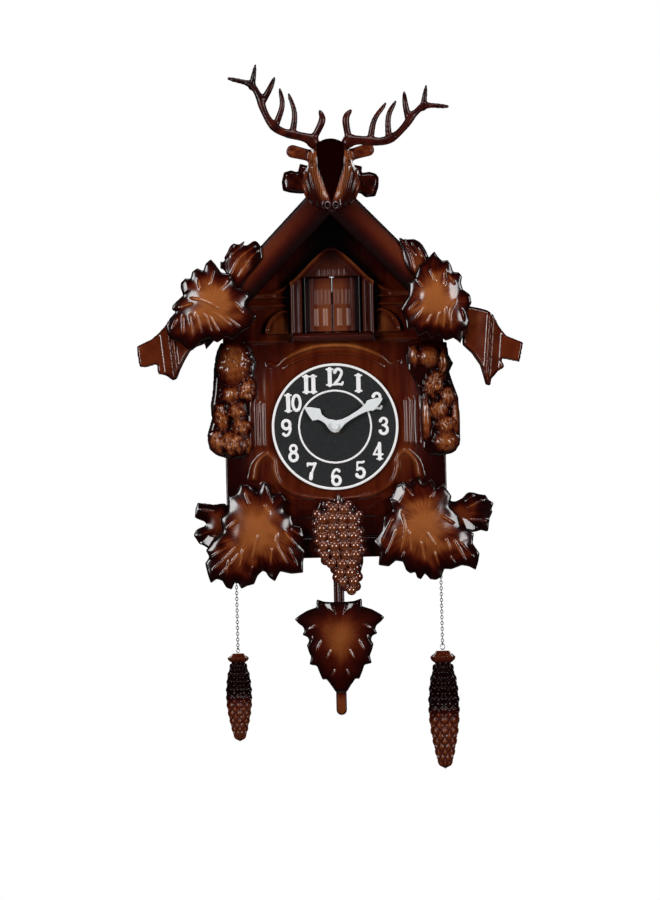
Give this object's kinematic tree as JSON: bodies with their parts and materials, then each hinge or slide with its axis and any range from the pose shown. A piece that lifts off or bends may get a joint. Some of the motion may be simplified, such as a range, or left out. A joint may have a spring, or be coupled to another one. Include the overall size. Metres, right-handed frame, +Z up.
{
  "type": "cuckoo clock",
  "caption": "Wall cuckoo clock with stag-head gable, swinging pendulum, bird behind double doors, round dial with hands, cone weights on chains and a keyhole back",
  "frame": {"origin": "centre of the hanging keyhole, on the rear face of the back cover, which is the wall plane", "axes": "+Z up, +Y into the wall (rear), -Y is the front with the dial, +X to the right seen from the front"},
  "size_m": [0.357, 0.196, 0.655],
  "materials": {
    "brown_moulding": "glossy injection-moulded plastic, red-brown with near-black edges",
    "black_dial": "black moulded plastic",
    "white_print": "raised white print",
    "light_metal": "painted silver-white aluminium strip",
    "steel": "plated steel",
    "brass": "turned brass and enamelled copper",
    "gear_plastic": "natural acetal",
    "bird_plastic": "painted plastic bird",
    "beak_plastic": "orange plastic",
    "cell_jacket": "printed steel jacket with no label",
    "board": "green laminate"
  },
  "bodies": {
    "clock": {"antler_left": "brown_moulding", "antler_right": "brown_moulding", "back_cover": "black_dial", "back_screws": "steel", "battery_cells": "cell_jacket", "battery_contacts": "steel", "bird_guide": "gear_plastic", "bird_motor": "gear_plastic", "case_body": "brown_moulding", "chain_pins": "steel", "circuit_board": "board", "dial_markings": "white_print", "dial_plate": "black_dial", "door_frame": "brown_moulding", "door_pins": "steel", "drive_coil": "brass", "front_panel": "brown_moulding", "grape_cluster": "brown_moulding", "head_bracket": "brown_moulding", "lower_leaf_back_left": "brown_moulding", "lower_leaf_back_right": "brown_moulding", "lower_leaf_front_left": "brown_moulding", "lower_leaf_front_right": "brown_moulding", "movement_case": "black_dial", "movement_cover": "black_dial", "movement_nut": "brass", "roof_end_left": "brown_moulding", "roof_end_right": "brown_moulding", "roof_left": "brown_moulding", "roof_right": "brown_moulding", "side_relief_left": "brown_moulding", "side_relief_right": "brown_moulding", "speaker": "black_dial", "stag_head": "brown_moulding", "upper_leaf_back_left": "brown_moulding", "upper_leaf_back_right": "brown_moulding", "upper_leaf_front_left": "brown_moulding", "upper_leaf_front_right": "brown_moulding"},
    "minute": {"minute_arbor": "gear_plastic", "minute_hand": "light_metal", "hand_nut": "light_metal"},
    "hour": {"hour_wheel": "gear_plastic", "hour_hand": "light_metal"},
    "motion": {"motion_wheel": "gear_plastic"},
    "knob": {"set_knob": "black_dial"},
    "pendulum": {"pendulum_hanger": "steel", "pendulum_rod": "brown_moulding", "pendulum_bob": "brown_moulding"},
    "cuckoo": {"bird_body": "bird_plastic", "bird_beak": "beak_plastic", "bird_rack": "gear_plastic"},
    "drive_pinion": {"bird_pinion": "gear_plastic"},
    "door_left": {"door_leaf_left": "brown_moulding"},
    "door_right": {"door_leaf_right": "brown_moulding"},
    "battery_lid": {"battery_door": "black_dial"},
    "switch_slider": {"chime_switch": "black_dial"},
    "left_chain": {"chain_left": "steel"},
    "left_weight": {"weight_left": "brown_moulding"},
    "right_chain": {"chain_right": "steel"},
    "right_weight": {"weight_right": "brown_moulding"}
  },
  "joints": [
    {"name": "minute_turn", "type": "hinge", "parent": "clock", "child": "minute", "pos_m": [0, -0.1, -0.13], "axis": [0, 1, 0], "continuous": true},
    {"name": "hour_turn", "type": "hinge", "parent": "clock", "child": "hour", "pos_m": [0, -0.1, -0.13], "axis": [0, 1, 0], "continuous": true},
    {"name": "motion_turn", "type": "hinge", "parent": "clock", "child": "motion", "pos_m": [0.00884, -0.075, -0.13884], "axis": [0, 1, 0], "continuous": true},
    {"name": "knob_turn", "type": "hinge", "parent": "clock", "child": "knob", "pos_m": [0.01768, -0.06, -0.14768], "axis": [0, 1, 0], "continuous": true},
    {"name": "pendulum_swing", "type": "hinge", "parent": "clock", "child": "pendulum", "pos_m": [0, -0.056, -0.17], "axis": [0, 1, 0], "range_deg": [-6, 6]},
    {"name": "cuckoo_out", "type": "slide", "parent": "clock", "child": "cuckoo", "axis": [0, -1, 0], "range_m": [0, 0.045]},
    {"name": "pinion_turn", "type": "hinge", "parent": "clock", "child": "drive_pinion", "pos_m": [0, -0.066, -0.0486], "axis": [1, 0, 0], "range_deg": [0, 370]},
    {"name": "door_left_open", "type": "hinge", "parent": "clock", "child": "door_left", "pos_m": [-0.0252, -0.092, -0.018], "axis": [0, 0, -1], "range_deg": [0, 88]},
    {"name": "door_right_open", "type": "hinge", "parent": "clock", "child": "door_right", "pos_m": [0.0252, -0.092, -0.018], "axis": [0, 0, 1], "range_deg": [0, 88]},
    {"name": "battery_lid_open", "type": "hinge", "parent": "clock", "child": "battery_lid", "pos_m": [0.057, -0.0016, -0.2342], "axis": [-1, 0, 0], "range_deg": [0, 95]},
    {"name": "chime_switch_slide", "type": "slide", "parent": "clock", "child": "switch_slider", "axis": [1, 0, 0], "range_m": [-0.003, 0.003]},
    {"name": "left_chain_swing", "type": "hinge", "parent": "clock", "child": "left_chain", "pos_m": [-0.0945, -0.05, -0.255], "axis": [0, 1, 0], "range_deg": [-8, 8]},
    {"name": "left_weight_swing", "type": "hinge", "parent": "left_chain", "child": "left_weight", "pos_m": [-0.0945, -0.05, -0.3326], "axis": [0, 1, 0], "range_deg": [-6, 6]},
    {"name": "right_chain_swing", "type": "hinge", "parent": "clock", "child": "right_chain", "pos_m": [0.0945, -0.05, -0.255], "axis": [0, 1, 0], "range_deg": [-8, 8]},
    {"name": "right_weight_swing", "type": "hinge", "parent": "right_chain", "child": "right_weight", "pos_m": [0.0945, -0.05, -0.3326], "axis": [0, 1, 0], "range_deg": [-6, 6]}
  ],
  "couplings": [
    {"joint": "hour_turn", "follows": "minute_turn", "ratio": 0.083333},
    {"joint": "motion_turn", "follows": "minute_turn", "ratio": -0.33333},
    {"joint": "knob_turn", "follows": "minute_turn", "ratio": 1},
    {"joint": "pinion_turn", "follows": "cuckoo_out", "rad_per_m": 142.86},
    {"joint": "door_left_open", "follows": "cuckoo_out", "rad_per_m": 34.092},
    {"joint": "door_right_open", "follows": "cuckoo_out", "rad_per_m": 34.092}
  ]
}
